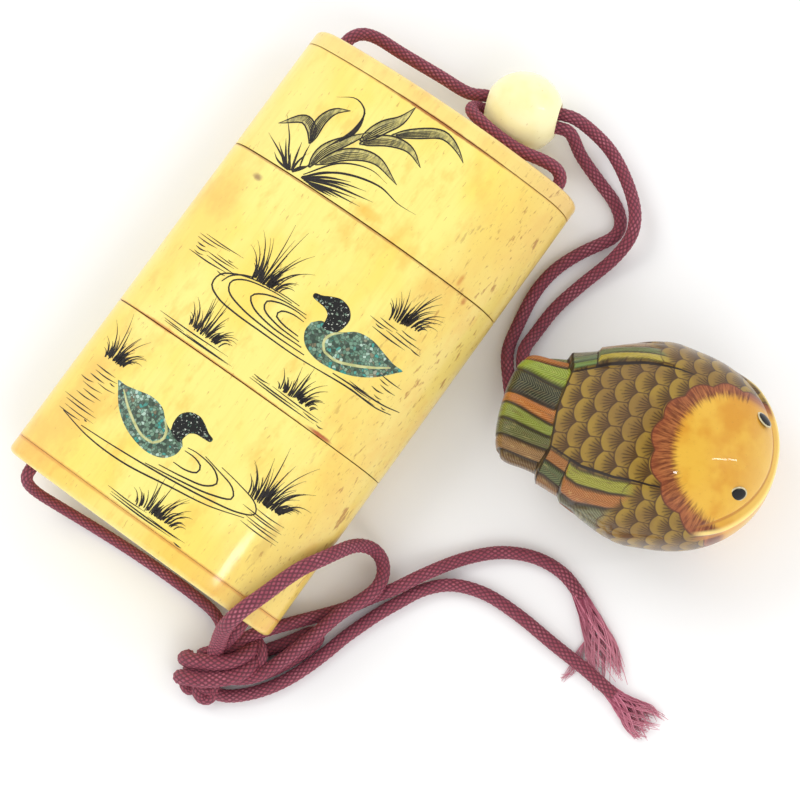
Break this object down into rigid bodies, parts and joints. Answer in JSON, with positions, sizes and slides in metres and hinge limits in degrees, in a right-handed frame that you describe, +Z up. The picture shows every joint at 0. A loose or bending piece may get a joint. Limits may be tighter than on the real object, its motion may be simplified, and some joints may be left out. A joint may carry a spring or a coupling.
{
  "type": "inro case",
  "caption": "Flat bone case in stacked sections with engraved waterfowl, threaded on a burgundy cord with a round bead and a carved bird toggle.",
  "frame": {"origin": "middle of the flat on the back of the case, where the case lies on the table", "axes": "+Y runs along the case towards the lid, +X runs across the case towards the bird, and +Z points up out of the engraved face"},
  "size_m": [0.1012, 0.1119, 0.0241],
  "materials": {
    "bone": "polished pale yellow bone with fine dark pores and oblique streaks",
    "honey_bone": "polished bone, warmer and more orange",
    "pale_bone": "polished cream bone",
    "lacquered_nut": "carved palm nut, painted and varnished to a high gloss",
    "cord": "round braided burgundy cord, satin"
  },
  "bodies": {
    "root": {"case_top_plate": "bone", "case_lid": "bone", "case_middle": "bone", "case_bottom": "bone", "case_bottom_plate": "honey_bone", "ojime_bead": "pale_bone", "netsuke_bird": "lacquered_nut", "cord_left_toggle": "cord", "cord_left_bead": "cord", "cord_left_top": "cord", "cord_left_channel": "cord", "cord_left_tail": "cord", "cord_right_toggle": "cord", "cord_right_bead": "cord", "cord_right_top": "cord", "cord_right_channel": "cord", "cord_right_tail": "cord", "cord_loop": "cord", "cord_short_end": "cord", "cord_long_end": "cord", "cord_knot": "cord"}
  },
  "joints": []
}
